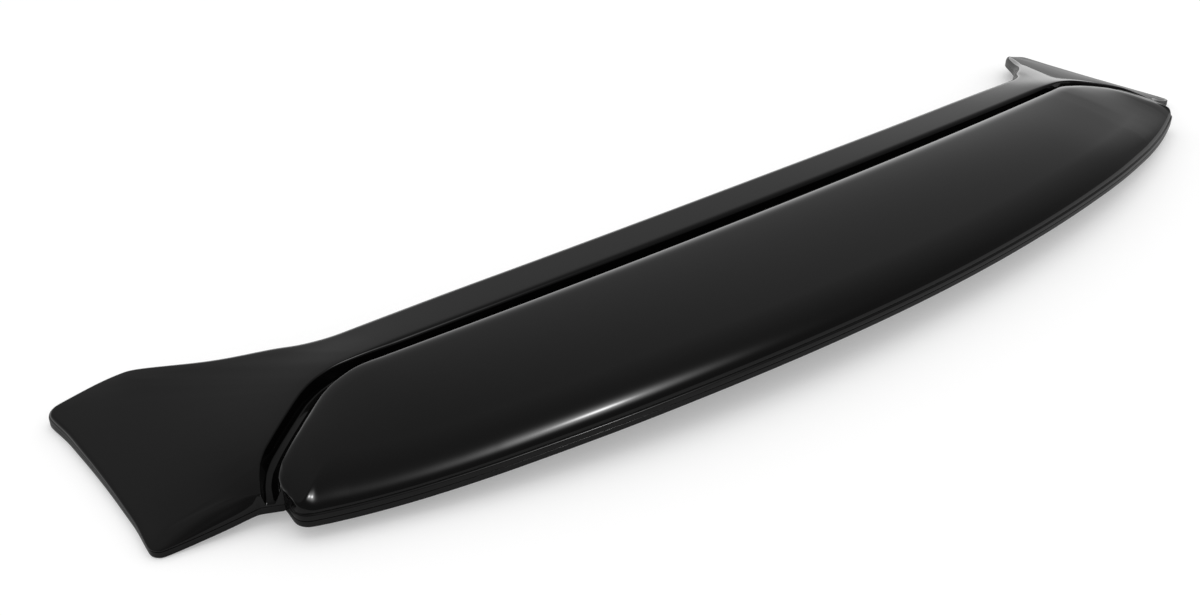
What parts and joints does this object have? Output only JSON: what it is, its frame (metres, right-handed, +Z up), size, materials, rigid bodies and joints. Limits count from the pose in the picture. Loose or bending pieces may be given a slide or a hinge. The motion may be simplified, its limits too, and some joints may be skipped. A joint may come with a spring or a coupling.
{
  "type": "rear spoiler",
  "caption": "Rear roof spoiler: a swept blade with a rolled trailing edge behind a front strip, split from it by a groove, with a flat ear at each end.",
  "frame": {"origin": "centre of the overall box at its lowest point, the plane that the outer edges of the ears rest on", "axes": "+X along the span, +Y from the trailing edge towards the roof of the car, +Z up out of the outer face"},
  "size_m": [1.2476, 0.3291, 0.0614],
  "materials": {
    "upper_shell": "gloss black paint",
    "lower_shell": "gloss black paint",
    "threaded_inserts": "machined"
  },
  "bodies": {
    "root": {"upper_shell": "upper_shell", "lower_shell": "lower_shell", "threaded_inserts": "threaded_inserts"}
  },
  "joints": []
}
